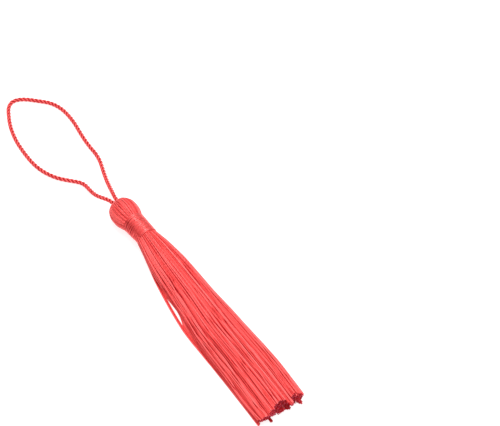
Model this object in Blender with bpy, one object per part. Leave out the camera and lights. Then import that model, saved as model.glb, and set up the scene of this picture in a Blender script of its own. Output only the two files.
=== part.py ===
"""Silk tassel lying on a flat surface.

The folded hank of thread makes the mop head, the neck and the skirt of cut strands. A binding thread is
wound round the neck, and a loop of three-ply twisted cord comes out of the pit at the top of the head.

+X runs from the head to the cut ends, +Z is up, and z = 0 is the surface. The origin is under the middle of
the tassel, its loop left out. Sizes and tables are in millimetres.
"""
import math
import random

import bmesh
import bpy
import numpy as np
from mathutils import Vector

MM = 0.001
CLEARANCE = 0.3      # between pieces that touch on the real tassel
SEED = 12

# Head and neck, measured along their axis from the top of the head
HEAD_TOP = (-60.0, -1.0, 5.55)
HEADING_DEG = 3.9    # the axis turns this far from +X towards +Y
DROOP_DEG = 0.6      # and falls this far towards the skirt
PIT_DEPTH = 1.6
FLUTES = 26
FLUTE_PHASE = 0.4
FLUTE_EVEN = 0.65    # share of the flutes' depth that is the same all round
UNDERSIDE_DEG = 30.0  # the head is smooth this far each side of its lowest line, where it rests
WRAP_START = 10.4
WRAP_END = 21.4
CORE_END = 21.15
CORE_RADIUS = 3.7

# The head's turned profile: distance along the axis, radius, depth of the flutes there
HEAD_PROFILE = (
    (PIT_DEPTH, 2.20, 0.00),
    (0.45, 2.35, 0.00),
    (0.00, 2.85, 0.08),
    (0.35, 3.80, 0.18),
    (1.45, 4.80, 0.26),
    (3.10, 5.62, 0.34),
    (5.20, 5.92, 0.38),
    (7.20, 5.84, 0.36),
    (8.80, 5.44, 0.30),
    (WRAP_START - CLEARANCE, 4.80, 0.20),
    (WRAP_START - CLEARANCE + 0.05, 4.05, 0.00),
    (CORE_END, CORE_RADIUS, 0.00),
)

# The binding
WRAP_RADIUS_START = 4.85
WRAP_RADIUS_END = 4.45
WRAP_RIBS = 9
WRAP_RIB_DEPTH = 0.14
WRAP_SIDES = 26
WRAP_EDGE = 0.15     # rounding of its two ends
WRAP_UNEVEN = 0.20   # how much the crests of its ribs differ, as a share of their depth

# The skirt's cross-sections: place along X, left and right edge (y), bottom and top (z), and how far the round
# bundle at the neck has settled into a pile on the surface (0 round, 1 settled)
SKIRT_SECTIONS = (
    (-39.8, -2.75, 3.45, 2.15, 8.35, 0.00),
    (-37.2, -3.95, 5.00, 0.95, 9.55, 0.05),
    (-33.5, -5.40, 6.80, 0.30, 9.25, 0.50),
    (-23.0, -7.40, 8.70, 0.00, 8.10, 1.00),
    (-3.00, -8.80, 9.30, 0.00, 7.00, 1.00),
    (18.00, -11.1, 11.2, 0.00, 6.40, 1.00),
    (39.00, -11.7, 12.0, 0.00, 5.90, 1.00),
    (60.00, -11.5, 11.4, 0.00, 5.50, 1.00),
)
COLUMNS = 24
STACK = 7            # strands one above the other in the middle columns
EDGE_POWER = 2.6     # how broad the top of the settled pile is
EDGE_FALL = 0.45     # and how steeply it falls at its sides
FILL_ACROSS = 0.68   # share of an even cell that a strand fills
FILL_TIGHT = 0.80    # most that it fills of a cell squeezed by its neighbours
FILL_UP = 0.78
THICKEST = 0.80      # a strand of the settled pile
SWAY = 0.045         # sideways drift of the strands, as a share of the half width
SWAY_WAVES = ((1.0, 1.1, 95.0), (0.6, 1.9, -61.0))   # share, waves across the half width, length along X
STRAY_BOW = (0.0, 0.0, 0.0, 0.1, 1.45, 0.35, 0.0, 0.0)   # the outermost lock, at each section

# The cut ends: how far the mid skirt reaches, how much shorter each millimetre higher up is, and the locks
# that stand out past the rest (column, level from the surface, reach)
END_REACH = 57.4
END_SLANT = 0.35
END_RAGGED = 0.75
LONG_LOCKS = ((0, 0, 58.4), (1, 0, 59.0), (2, 1, 58.6), (5, 0, 60.0), (15, 6, 58.5), (16, 5, 58.3), (21, 1, 57.6))

# The hanging loop's route, from one end in the pit round to the other
LOOP_DIAMETER = 1.6
LOOP_LAY = 5.4       # length of one full turn of the three plies
LOOP_STEPS_PER_TURN = 8
GROOVE_SHARE = 0.66  # radius at the grooves between plies, as a share of the radius at their crests
LOOP_ROUTE = (
    (-58.7, -0.05, 5.55), (-61.0, 0.00, 5.50), (-63.5, 0.35, 5.25), (-66.5, 1.00, 4.65), (-70.0, 1.90, 3.70),
    (-74.0, 2.95, 2.50), (-78.5, 4.25, 1.50), (-83.5, 5.80, 0.95), (-88.2, 7.20, 0.82), (-92.6, 7.80, 0.82),
    (-97.0, 7.80, 0.82), (-107.0, 8.50, 0.82), (-112.0, 9.10, 0.82), (-116.8, 9.30, 0.82), (-121.2, 9.00, 0.82),
    (-125.2, 8.00, 0.82), (-128.9, 6.00, 0.82), (-132.0, 3.10, 0.82), (-135.0, 0.00, 0.82), (-137.3, -3.20, 0.82),
    (-138.0, -6.40, 0.82), (-136.4, -9.30, 0.82), (-133.0, -11.4, 0.82), (-128.6, -13.4, 0.82),
    (-123.8, -15.0, 0.82), (-118.8, -16.1, 0.82), (-108.4, -16.9, 0.82), (-98.8, -16.1, 0.82),
    (-94.4, -14.7, 0.82), (-90.4, -12.6, 0.82), (-87.0, -9.90, 0.82), (-84.2, -7.20, 0.82), (-81.4, -5.20, 0.95),
    (-77.4, -4.70, 1.50), (-73.6, -4.80, 2.50), (-70.2, -4.50, 3.60), (-67.0, -3.50, 4.65), (-64.1, -2.40, 5.25),
    (-61.4, -1.80, 5.50), (-58.7, -1.80, 5.55),
)

THREAD_COLOUR = (0.93, 0.10, 0.09, 1.0)
WRAP_COLOUR = (0.90, 0.09, 0.09, 1.0)
CORD_COLOUR = (0.91, 0.10, 0.10, 1.0)
THREAD_ROUGHNESS = 0.42
WRAP_ROUGHNESS = 0.38
CORD_ROUGHNESS = 0.45


def clear_scene():
    for old in list(bpy.data.objects):
        bpy.data.objects.remove(old, do_unlink=True)


def silk_material(name, colour, roughness):
    material = bpy.data.materials.new(name)
    material.use_nodes = True
    shader = material.node_tree.nodes["Principled BSDF"]
    shader.inputs["Base Color"].default_value = colour
    shader.inputs["Roughness"].default_value = roughness
    shader.inputs["Metallic"].default_value = 0.0
    return material


def finish(bm, name, material, smooth=True):
    """Make an object of a bmesh in metres, with its faces pointing out."""
    bmesh.ops.recalc_face_normals(bm, faces=bm.faces[:])
    mesh = bpy.data.meshes.new(name)
    bm.to_mesh(mesh)
    bm.free()
    mesh.materials.append(material)
    if smooth:
        mesh.shade_smooth()
        mesh.set_sharp_from_angle(angle=math.radians(50))
    made = bpy.data.objects.new(name, mesh)
    bpy.context.scene.collection.objects.link(made)
    return made


def neck_axes():
    """Unit vectors of the head and neck: along the axis, sideways, and up."""
    heading = math.radians(HEADING_DEG)
    droop = math.radians(DROOP_DEG)
    along = Vector((math.cos(heading) * math.cos(droop), math.sin(heading) * math.cos(droop), -math.sin(droop)))
    side = Vector((-math.sin(heading), math.cos(heading), 0.0))
    return along, side, along.cross(side)


def on_axis(distance, radius, angle):
    """A point round the head's axis, no lower than the surface."""
    along, side, up = neck_axes()
    place = Vector(HEAD_TOP) + along * distance + (side * math.cos(angle) + up * math.sin(angle)) * radius
    place.z = max(place.z, 0.0)
    return place * MM


def turned_rings(bm, profile, sides, radius_at):
    """Rings of points round the axis, bridged in order. radius_at(radius, flute, angle) gives the relief."""
    rings = []
    for distance, radius, flute in profile:
        ring = []
        for step in range(sides):
            angle = 2 * math.pi * step / sides
            ring.append(bm.verts.new(on_axis(distance, radius_at(radius, flute, angle), angle)))
        rings.append(ring)
    for one, two in zip(rings, rings[1:]):
        bridge(bm, one, two)
    return rings


def bridge(bm, one, two):
    for step in range(len(one)):
        after = (step + 1) % len(one)
        bm.faces.new((one[step], one[after], two[after], two[step]))


def fluted(radius, flute, angle):
    """The radius of the mop head: uneven grooves between folded locks, none where it rests."""
    below = abs(math.remainder(angle + math.pi / 2, 2 * math.pi))
    shown = min(1.0, max(0.0, below / math.radians(UNDERSIDE_DEG) - 1.0))
    uneven = FLUTE_EVEN + (1.0 - FLUTE_EVEN) * math.sin(5 * angle + FLUTE_PHASE) * math.sin(2 * angle)
    return radius - flute * shown * uneven * (0.5 - 0.5 * math.cos(FLUTES * angle))


def head(material):
    bm = bmesh.new()
    rings = turned_rings(bm, HEAD_PROFILE, 2 * FLUTES, fluted)
    bm.faces.new(rings[0])
    bm.faces.new(rings[-1])
    return finish(bm, "head_and_skirt", material)


def section_at(x):
    """The skirt's section at x, read between the rows of its table."""
    table = np.array(SKIRT_SECTIONS)
    return [float(np.interp(x, table[:, 0], table[:, column])) for column in range(1, table.shape[1])]


def stack_height(across):
    """How many strands stand one above the other in a column, from its place across the round bundle."""
    return max(1, round(STACK * math.sqrt(1.0 - across ** 2)))


def drift(across, x, settled):
    """Smooth sideways drift that bunches neighbouring columns here and parts them there."""
    wave = sum(share * math.sin(2 * math.pi * (waves * across + x / length))
               for share, waves, length in SWAY_WAVES)
    return SWAY * settled * wave * (1.0 - across ** 2)


def strand_ring(column, level, levels, x, bow):
    """The four corners of a strand at x: bottom left, bottom right, top right, top left."""
    left, right, bottom, top, settled = section_at(x)
    middle = (left + right) / 2
    half = (right - left) / 2
    edges = [2.0 * (column + side) / COLUMNS - 1.0 for side in (0, 1)]
    low_y, high_y = [middle + half * (edge + drift(edge, x, settled)) for edge in edges]
    centre_y = (low_y + high_y) / 2 - bow
    half_width = min(half / COLUMNS * FILL_ACROSS, (high_y - low_y) / 2 * FILL_TIGHT)
    across = (edges[0] + edges[1]) / 2
    round_pitch = (top - bottom) / STACK
    round_low = bottom + (level + (STACK - levels) / 2) * round_pitch
    pile_pitch = top * (1.0 - abs(across) ** EDGE_POWER) ** EDGE_FALL / levels
    pile_low = level * pile_pitch
    low = round_low * (1 - settled) + pile_low * settled
    thick = round_pitch * FILL_UP * (1 - settled) + min(pile_pitch * FILL_UP, THICKEST) * settled
    corners = ((-half_width, 0.0), (half_width, 0.0), (half_width, thick), (-half_width, thick))
    return [Vector((x, centre_y + y, low + z)) * MM for y, z in corners]


def strand_end(column, level, chance):
    """How far a strand reaches: a slanting, ragged cut, with a few locks left long."""
    reach = {(one[0], one[1]): one[2] for one in LONG_LOCKS}
    height = level * SKIRT_SECTIONS[-1][4] / STACK
    cut = END_REACH - END_SLANT * height + chance.uniform(-END_RAGGED, END_RAGGED)
    return reach.get((column, level), cut)


def skirt(material):
    """All strands in one mesh. They stand apart from each other, with their roots inside the neck."""
    chance = random.Random(SEED)
    bm = bmesh.new()
    for column in range(COLUMNS):
        levels = stack_height((2.0 * column + 1.0) / COLUMNS - 1.0)
        for level in range(levels):
            stations = [row[0] for row in SKIRT_SECTIONS[:-1]] + [strand_end(column, level, chance)]
            rings = []
            for number, x in enumerate(stations):
                bow = STRAY_BOW[number] if column == 0 else 0.0
                rings.append([bm.verts.new(corner) for corner in strand_ring(column, level, levels, x, bow)])
            for one, two in zip(rings, rings[1:]):
                bridge(bm, one, two)
            bm.faces.new(rings[0])
            bm.faces.new(rings[-1])
    return finish(bm, "skirt_strands", material, smooth=False)


def head_and_skirt(material):
    """The whole hank: the strands' roots are fused into the neck."""
    hank = head(material)
    strands = skirt(material)
    join = hank.modifiers.new("fuse_roots", "BOOLEAN")
    join.operation = "UNION"
    join.solver = "EXACT"
    join.object = strands
    strands.hide_render = True
    strands.display_type = "WIRE"
    return hank


def neck_wrap(material):
    """The binding: a sleeve round the neck, its outside ridged by the layers of thread."""
    bm = bmesh.new()
    length = WRAP_END - WRAP_START - 2 * WRAP_EDGE
    profile = []
    points = 2 * WRAP_RIBS
    for step in range(points + 1):
        share = step / points
        radius = WRAP_RADIUS_START + (WRAP_RADIUS_END - WRAP_RADIUS_START) * share
        dip = WRAP_RIB_DEPTH * (1.0 if step % 2 == 0 else WRAP_UNEVEN * math.sin(3.0 * step))
        profile.append((WRAP_START + WRAP_EDGE + length * share, radius - dip, 0.0))
    neck_slope = (HEAD_PROFILE[-1][1] - HEAD_PROFILE[-2][1]) / (HEAD_PROFILE[-1][0] - HEAD_PROFILE[-2][0])
    for distance in (WRAP_END, WRAP_START):
        neck = HEAD_PROFILE[-2][1] + neck_slope * (distance - HEAD_PROFILE[-2][0])
        profile.append((distance, neck + CLEARANCE, 0.0))
    rings = turned_rings(bm, profile, WRAP_SIDES, lambda radius, flute, angle: radius)
    bridge(bm, rings[-1], rings[0])
    return finish(bm, "neck_wrap", material)


def smooth_route(points, spacing):
    """Places a given spacing apart on a natural cubic spline through the route's points."""
    route = np.array(points)
    knots = np.concatenate([[0.0], np.cumsum(np.linalg.norm(np.diff(route, axis=0), axis=1))])
    steps = np.diff(knots)
    count = len(route)
    matrix = np.eye(count)
    right = np.zeros((count, 3))
    for i in range(1, count - 1):
        matrix[i, i - 1:i + 2] = steps[i - 1], 2 * (steps[i - 1] + steps[i]), steps[i]
        right[i] = 6 * ((route[i + 1] - route[i]) / steps[i] - (route[i] - route[i - 1]) / steps[i - 1])
    bend = np.linalg.solve(matrix, right)
    places = np.linspace(0.0, knots[-1], round(knots[-1] / spacing) + 1)
    span = np.clip(np.searchsorted(knots, places, side="right") - 1, 0, count - 2)
    before = ((knots[span + 1] - places) / steps[span])[:, None]
    after = 1.0 - before
    width = steps[span][:, None]
    return (before * route[span] + after * route[span + 1]
            + ((before ** 3 - before) * bend[span] + (after ** 3 - after) * bend[span + 1]) * width ** 2 / 6)


def loop_section():
    """The cord's section: three plies, so three crests with a groove between each two."""
    curve = bpy.data.curves.new("loop_section", "CURVE")
    curve.dimensions = "2D"
    spline = curve.splines.new("POLY")
    spline.points.add(5)
    for step, point in enumerate(spline.points):
        angle = -math.pi * step / 3
        radius = LOOP_DIAMETER / 2 * (1.0 if step % 2 == 0 else GROOVE_SHARE) * MM
        point.co = (radius * math.cos(angle), radius * math.sin(angle), 0.0, 1.0)
    spline.use_cyclic_u = True
    section = bpy.data.objects.new("loop_section", curve)
    section.hide_render = True
    section.display_type = "WIRE"
    bpy.context.scene.collection.objects.link(section)
    return section


def hanging_loop(material):
    """The twisted cord, laid along its route and turned once for each lay."""
    spacing = LOOP_LAY / LOOP_STEPS_PER_TURN
    places = smooth_route(LOOP_ROUTE, spacing)
    curve = bpy.data.curves.new("hanging_loop", "CURVE")
    curve.dimensions = "3D"
    curve.bevel_mode = "OBJECT"
    curve.bevel_object = loop_section()
    curve.use_fill_caps = True
    spline = curve.splines.new("POLY")
    spline.points.add(len(places) - 1)
    for step, (point, place) in enumerate(zip(spline.points, places)):
        point.co = (*(place * MM), 1.0)
        point.tilt = 2 * math.pi * step / LOOP_STEPS_PER_TURN
    curve.materials.append(material)
    made = bpy.data.objects.new("hanging_loop", curve)
    bpy.context.scene.collection.objects.link(made)
    return made


def main():
    clear_scene()
    head_and_skirt(silk_material("silk_thread", THREAD_COLOUR, THREAD_ROUGHNESS))
    neck_wrap(silk_material("binding_thread", WRAP_COLOUR, WRAP_ROUGHNESS))
    hanging_loop(silk_material("twisted_cord", CORD_COLOUR, CORD_ROUGHNESS))


main()
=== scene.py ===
"""Looks of a silk tassel that lies on a pale surface.

The strands of its skirt, the folded strands of its mop head, the turns of its binding and the yarns of its
twisted loop are each modelled. Tables and constants are in millimetres, in the frame of the solids.
"""
import math

import bmesh
import bpy
import numpy as np
from bpy.props import FloatProperty, FloatVectorProperty, IntProperty, PointerProperty
from mathutils import Matrix, Vector


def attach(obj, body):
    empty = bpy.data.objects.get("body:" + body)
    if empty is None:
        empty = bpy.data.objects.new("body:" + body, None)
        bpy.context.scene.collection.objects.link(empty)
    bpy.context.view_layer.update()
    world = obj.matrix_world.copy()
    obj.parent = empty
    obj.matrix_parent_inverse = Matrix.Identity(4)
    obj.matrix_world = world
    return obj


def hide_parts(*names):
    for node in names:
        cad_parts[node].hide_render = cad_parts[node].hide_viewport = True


bl_info = {
    "name": "Silk Tassel",
    "version": (1, 0, 0),
    "blender": (4, 5, 0),
    "location": "View3D > Sidebar > Tassel",
    "description": "Builds the strands, binding and twisted loop of a silk tassel",
    "category": "Object",
}

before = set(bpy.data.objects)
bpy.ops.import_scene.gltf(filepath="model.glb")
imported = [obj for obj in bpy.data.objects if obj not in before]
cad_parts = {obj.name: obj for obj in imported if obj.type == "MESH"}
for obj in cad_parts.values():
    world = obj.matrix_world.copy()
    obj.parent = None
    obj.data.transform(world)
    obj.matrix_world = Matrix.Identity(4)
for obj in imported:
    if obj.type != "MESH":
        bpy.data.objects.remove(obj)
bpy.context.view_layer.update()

MM = 0.001

# Head and neck, measured along their axis from the top of the head
HEAD_TOP = np.array([-60.0, -1.0, 5.55])
HEADING = math.radians(3.9)    # the axis turns this far from +X towards +Y
DROOP = math.radians(0.6)      # and falls this far towards the skirt
WRAP_START = 11.1
WRAP_END = 21.4
WRAP_RADIUS = (4.85, 4.45)     # outside of the binding, at its start and end

# The outside of the mop head: distance along the axis, radius. It starts inside the pit.
HEAD_PROFILE = (
    (1.60, 1.90),
    (0.55, 2.20),
    (-0.05, 2.85),
    (0.25, 3.85),
    (1.35, 4.95),
    (3.10, 5.74),
    (5.20, 6.04),
    (7.20, 5.94),
    (9.00, 5.52),
    (10.60, 4.92),
    (11.90, 4.20),
)

# The skirt's cross-sections: place along X, left and right edge (y), bottom and top (z), and how far the
# round bundle at the neck has settled into a pile on the surface (0 round, 1 settled)
SKIRT_SECTIONS = np.array((
    (-41.5, -3.95, 4.05, 1.55, 9.45, 0.00),
    (-38.9, -3.80, 4.35, 1.50, 9.55, 0.00),
    (-37.4, -4.15, 5.05, 0.95, 9.75, 0.05),
    (-33.5, -5.40, 6.80, 0.25, 9.45, 0.50),
    (-23.0, -7.25, 8.75, 0.00, 8.25, 1.00),
    (-12.0, -7.60, 9.20, 0.00, 7.50, 1.00),
    (-4.00, -7.60, 9.40, 0.00, 7.10, 1.00),
    (0.50, -8.30, 9.80, 0.00, 6.95, 1.00),
    (4.00, -9.10, 10.1, 0.00, 6.80, 1.00),
    (12.00, -10.6, 10.8, 0.00, 6.60, 1.00),
    (20.00, -10.9, 11.3, 0.00, 6.40, 1.00),
    (39.00, -10.9, 12.1, 0.00, 5.95, 1.00),
    (60.00, -11.1, 11.5, 0.00, 5.55, 1.00),
))
EDGE_POWER = 2.6               # how broad the top of the settled pile is
EDGE_FALL = 0.45               # and how steeply it falls at its sides

# How the skirt's strands lie before they settle
SKIRT_END = 57.5               # the pile is worked out as far along X as here
STATION_BIAS = 1.12            # rings are closer together where the skirt comes out of the binding
LOCKS = 60                     # strands lie together in this many locks
LOCK_SQUEEZE = 0.04            # share of its width by which a lock draws together
LOCK_GATHERED = 0.35           # locks are drawn together over more of their length, the greater this is
LOOSE_FROM = SKIRT_SECTIONS[2, 0]
LOOSE_OVER = 45.0              # the strands come to wander freely over this length
DRIFT_UP = 0.2                 # share of the sideways drift by which strands also rise and fall

# Drift of whole locks, then of single strands: its size, and its waves from the binding to the cut end
SIDE_DRIFT = ((0.6, (0.7, 1.5)), (0.6, (0.9, 2.2)))
RISE_DRIFT = ((0.5, (0.8, 1.9)), (1.2, (1.1, 2.4)))

CROSSING_SHARE = 0.05          # so many of the strands lie across the others
CROSSING_DRIFT = 2.2           # and stray this far
LOCK_SINK = 0.06               # how far locks, and single strands, may lie below the outline of the pile
STRAND_SINK = 0.36
SIZE_RANGE = (0.93, 1.07)      # share of their thickness that the thinnest and thickest strands have
HELD_ROOT = -40.0              # before this place along X the binding holds the strands

# Strands are pressed thin in the binding: place along X, share of their full thickness
STRAND_THINNING = np.array(((-41.5, 0.74), (-38.6, 0.76), (-36.0, 0.83), (-32.0, 0.93), (-27.0, 1.0)))

# How the strands settle: each round parts them by PUSH of their overlap and draws them back home by HOMING
SETTLE_ROUNDS = 110
NEIGHBOURS = 12                # so many of the nearest strands are looked at
NEIGHBOURS_KEPT = 8            # and found anew after this many rounds
PUSH = 0.36
HOMING = 0.04
SIDE_SINK = 0.6                # share of a strand's sinking that holds at the sides of the pile
SIDES_LOWER = 0.02             # strands count as lower by this much for each millimetre from the middle

# The lock that strays from the left side: place along X and y of its outermost strand
STRAY_LOCK = np.array((
    (-41.5, -3.60), (-33.5, -4.95), (-27.0, -6.15), (-20.5, -7.45), (-14.0, -8.55), (-7.50, -9.55),
    (-1.00, -10.40), (5.50, -11.05), (12.0, -11.15), (19.0, -11.00), (39.0, -10.95), (60.0, -11.20),
))

STRAY_HEIGHT = np.array(((-41.5, 3.40), (-33.5, 2.40), (-23.0, 0.50), (60.0, 0.45)))    # place along X, z
STRAY_STRANDS = ((0.00, 0.14), (0.78, 0.14), (0.39, -0.20))    # right of the outermost, up, for each strand
STRAY_HELD = 24.0              # the lock keeps to this route as far along X as here
LOW_FIRST = 0.35               # how much sooner lower strands are picked for it, and for the edge beside it

# The left edge of the other strands beside it, which leaves a gap and closes it again: place along X, y
BODY_EDGE = np.array((
    (-22.0, -7.10), (-17.0, -7.55), (-12.0, -7.60), (-8.00, -7.55), (-4.00, -7.60), (0.00, -8.40),
    (3.00, -9.50), (6.00, -9.95), (10.0, -10.0), (60.0, -10.0),
))

EDGE_STRANDS = 10              # strands that follow this edge, in pairs of a lower and an upper one
EDGE_FROM = -16.0              # from this place along X
EDGE_HELD = (-13.0, 16.0)      # and keep to it between these
EDGE_STEP = 0.75               # each pair lies this share of a strand further in than the last
EDGE_HEIGHT = 0.30             # z of the first strand
EDGE_OVER = 0.45               # an upper strand lies this far over its lower one
EDGE_RISE = 0.30               # and each pair this far over the last

# Where strands were cut longer or shorter: y and z of the middle of the patch, its half sizes, added length
END_PATCHES = (
    (-6.50, 3.40, 3.50, 2.30, 1.50),      # on the left the upper strands stand out over the lower ones
    (0.40, 4.80, 2.00, 2.40, -0.85),      # a hollow in the middle
    (3.60, 4.80, 1.15, 1.40, 3.00),       # a lock that stands out beside it
    (3.00, 0.60, 1.00, 0.90, 1.20),
    (-0.50, 0.80, 2.60, 1.00, 0.60),
    (7.40, 4.00, 1.90, 1.70, -0.70),
    (8.20, 0.60, 0.80, 0.80, 1.90),
    (-10.5, 0.60, 0.70, 0.90, 1.30),      # the longest strands at the left edge
    (10.6, 2.00, 0.90, 2.40, -0.70),
)
MEAN_REACH = 56.8              # place along X of the cut
LOCK_CUT = 0.50                # locks, and single strands, were cut longer or shorter by up to this
STRAND_CUT = 0.40
LONE_STRANDS = (-5.6, 0.35, 59.6)         # y, z and reach of the three strands that were cut longest
LONE_SHORTER = (0.0, 0.3, 0.5)            # how much less far each of them reaches

# Tones of the skirt's strands, on a scale from the deepest colour (0) to the lightest (1), with painted shade
# and painted light set on top
SKIRT_TONE = 0.50
TONE_SPREAD = 0.10
OUTSIDE_ALTERNATE_TONE = 0.17             # how much lighter every third strand at the outside is set, and the next one deeper
OUTSIDE_DEPTH = 0.15           # strands that lie less deep than this show at the outside
BURIED_PAINTED_SHADE = 0.54             # painted shade: how much darker the strands under the others are set
BURIED_FROM = 0.05             # depth at which this begins
BURIED_OVER = 0.28             # and over how much more depth it grows
BURIED_REACH = 0.9             # strands hide each other within this share of their thickness
SHOWN_FROM = np.radians((-75.0, -35.0, 0.0, 35.0, 75.0))   # directions to look from, turned from overhead
BURIED_ALONG = np.array(((-38.0, 0.50), (-20.0, 1.0)))     # place along X, share of the painted shade
BURIED_ACROSS = np.array(((-9.0, 0.72), (-3.0, 1.0)))      # y, share of the painted shade
ROOT_PAINTED_SHADE_AND_LIGHT = np.array(((-38.6, -0.10), (-37.8, 0.03), (-36.0, 0.06), (-24.0, 0.0)))    # place along X, added: painted shade in the crease at the binding, painted light just past it

# How the strands of the mop head lie. Their places are shares of the way from the pit to the binding.
HEAD_SHAKE = 0.18              # share of their spacing by which strands are out of place
GROOVE_SIDE = math.radians(152)           # the locks of strands have drawn together most on this side
GROOVE_WIDTH = math.radians(50)
GROOVE_FROM = 0.28             # grooves between locks begin here
GROOVE_OVER = 0.30             # and deepen over this share of the way
GROOVE_LEAST = 0.20            # share of their full depth that they have on the other sides
GROOVE_SIZES = (0.7, 1.1)      # each lock's own share of it
GROOVE_DEPTH = 0.75            # a strand lies this much lower beside a groove
GROOVE_CREST = 0.20            # and this much higher in the middle of its lock, as shares of the depth
GROOVE_FULL = 0.30             # a strand this far down gets all of the painted shade
HEAD_SWAY = 0.012              # how far strands sway round the head, in radians
HEAD_UNEVEN = 0.05             # and in and out
HEAD_SIZES = (0.94, 1.06)      # share of their thickness that the thinnest and thickest have
PIT_DEPTHS = (0.0, 0.14, 0.28)            # how far strands dive under their neighbours at the pit
PIT_SHARES = (0.5, 0.3, 0.2)              # and the share of them that does
PIT_OVER = 0.42                # they have come up again by here
HEAD_THINNING = np.array(((0.0, 0.72), (0.25, 0.86), (0.5, 1.0), (1.0, 0.92)))    # place, share of thickness
HEAD_TONE = 0.56
HEAD_TONE_SPREAD = 0.17
GROOVE_PAINTED_SHADE = 0.15             # painted shade: strands that lie lower, in a groove or under their neighbours, are set darker by this
CORE_FROM = 0.08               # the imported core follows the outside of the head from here
CORE_UNDER = 0.8               # and lies this far under it
CORE_TOP = 1.9                 # it begins this far under the top of the head
CORE_NECK = (0.5, 3.3)         # past the binding its radius is still this
CORE_END = 3.0                 # and it ends this far past the binding
CORE_LOWEST = 0.05             # it stays this far over the surface

# The binding's turns. One side of them has slipped apart near the head, and its turns are set darker there:
# painted shade.
FIRST_TURN = 0.7               # angle at which the thread starts
SLIPPED_SIDE = math.radians(122)
SLIPPED_WIDTH = math.radians(36)
SLIPPED_BY = 0.36
SLIPPED_ALONG = np.array(((WRAP_START + 1, 1.0), (WRAP_START + 6, 0.25)))    # along the axis, share of it
SLIPPED_RHYTHM = 2.4           # radians of their to and fro from one turn to the next
SLIPPED_SINK = 0.08            # they lie this much lower
SLIPPED_PAINTED_SHADE = (0.32, 0.20)   # and are set darker by this, some of them by this much more: painted shade
BINDING_TONE = 0.60
BINDING_UNEVEN = (0.06, 0.05)  # how far turns are out of place, along the axis and outwards
BINDING_WAVES = (5.3, 2.1)     # in waves of about so many turns
UNDER_LIFT = -0.30             # the lower layer of turns lies this far down, and its tone is set darker by as much: painted shade

# Turns that cross the binding at a slant: place along the axis, slant from one side to the other, the side
# where it stands furthest towards the skirt, and how high it lies over the other turns
CROSSING_TURNS = (
    (12.9, 1.25, 150.0, 0.05),
    (13.7, 1.60, 132.0, 0.07),
    (15.0, 1.15, 168.0, 0.05),
    (17.8, 0.70, 60.0, 0.04),
)
CROSSING_TONES = (0.25, 0.40)
CROSSING_LAP = 0.15            # each goes this much further than once round
CROSSING_TUCK = 0.85           # from this share of half a turn its ends dive under the other turns
CROSSING_DIVE = 0.35           # by this much
CROSSING_OVER = 0.2            # over this share of half a turn

# The twisted cord: three plies of four yarns each
CORD_STEP = 0.21               # distance between the rings along it
PLY_SHARE = 0.475              # thickness of a ply, as a share of the cord's
YARN_SHARE = 0.46              # and of a yarn, as a share of the ply's
YARN_LAY = 2.9                 # length of one turn of the yarns in their ply
YARN_SHIFT = 0.4               # the yarns of each ply start this much further round
CORD_PAINTED_SHADE_FROM = 0.62          # yarns nearer the cord's middle than this share of the way get the deepest tone: painted shade
CORD_PAINTED_LIGHT_RISE = 1.7           # further out they are set lighter at this rate, to painted light on the crests
CORD_TONE_SPREAD = 0.06
CORD_SEED = 11

# The hanging loop's route, from one end in the pit round to the other
LOOP_ROUTE = (
    (-58.7, -0.05, 5.55), (-61.0, 0.00, 5.50), (-63.5, 0.35, 5.25), (-66.5, 1.00, 4.65),
    (-70.0, 1.90, 3.70), (-74.0, 2.95, 2.50), (-78.5, 4.25, 1.50), (-83.5, 5.80, 0.95),
    (-88.2, 7.20, 0.82), (-92.6, 7.80, 0.82), (-97.0, 7.80, 0.82), (-107.0, 8.50, 0.82),
    (-112.0, 9.10, 0.82), (-116.8, 9.30, 0.82), (-121.2, 9.00, 0.82), (-125.2, 8.00, 0.82),
    (-128.9, 6.00, 0.82), (-132.0, 3.10, 0.82), (-135.0, 0.00, 0.82), (-137.3, -3.20, 0.82),
    (-138.0, -6.40, 0.82), (-136.4, -9.30, 0.82), (-133.0, -11.4, 0.82), (-128.6, -13.4, 0.82),
    (-123.8, -15.0, 0.82), (-118.8, -16.1, 0.82), (-108.4, -16.9, 0.82), (-98.8, -16.1, 0.82),
    (-94.4, -14.7, 0.82), (-90.4, -12.6, 0.82), (-87.0, -9.90, 0.82), (-84.2, -7.20, 0.82),
    (-81.4, -5.20, 0.95), (-77.4, -4.70, 1.50), (-73.6, -4.80, 2.50), (-70.2, -4.50, 3.60),
    (-67.0, -3.50, 4.65), (-64.1, -2.40, 5.25), (-61.4, -1.80, 5.50), (-58.7, -1.80, 5.55),
)

# The camera looks down past the skirt at the point of the floor in the middle of its picture
CAMERA_TARGET = (-30.62, 44.19, 0.0)
CAMERA_AZIMUTH = math.radians(56.5)
CAMERA_ELEVATION = math.radians(50.0)
CAMERA_DISTANCE = 800.0
CAMERA_NEAR = 50.0
LENS = 141.0
SENSOR = 36.0

# The softbox stands this far to the right of the middle, behind it and above it
SOFTBOX_PLACE = (30.0, 250.0, 900.0)
SOFTBOX_SIZE = 600.0

# The world is bright overhead and dim near the horizon: height, brightness
WORLD_RAMP = ((0.14, 0.12), (0.70, 1.0))
SURFACE_HALF = 1500.0

# Streaks of the filaments, and the angle past which a strand's edge is sharp
STREAKS_ROUND = 3.0
STREAK_LENGTH = 6.25
STREAK_CONTRAST = 0.55
STRAND_SHIFT = 7.31            # keeps the patterns of one strand and the next apart
MIDDLE_TONE = 0.45
SHARP_EDGE = math.radians(65)
STRAND_SIDES = 7


def linear(hex_colour):
    """An sRGB hex colour as the linear numbers that shaders take."""
    values = [int(hex_colour[i:i + 2], 16) / 255 for i in (1, 3, 5)]
    return [v / 12.92 if v <= 0.04045 else ((v + 0.055) / 1.055) ** 2.4 for v in values]


def rgba(colour):
    return (*colour[:3], 1.0)


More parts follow.
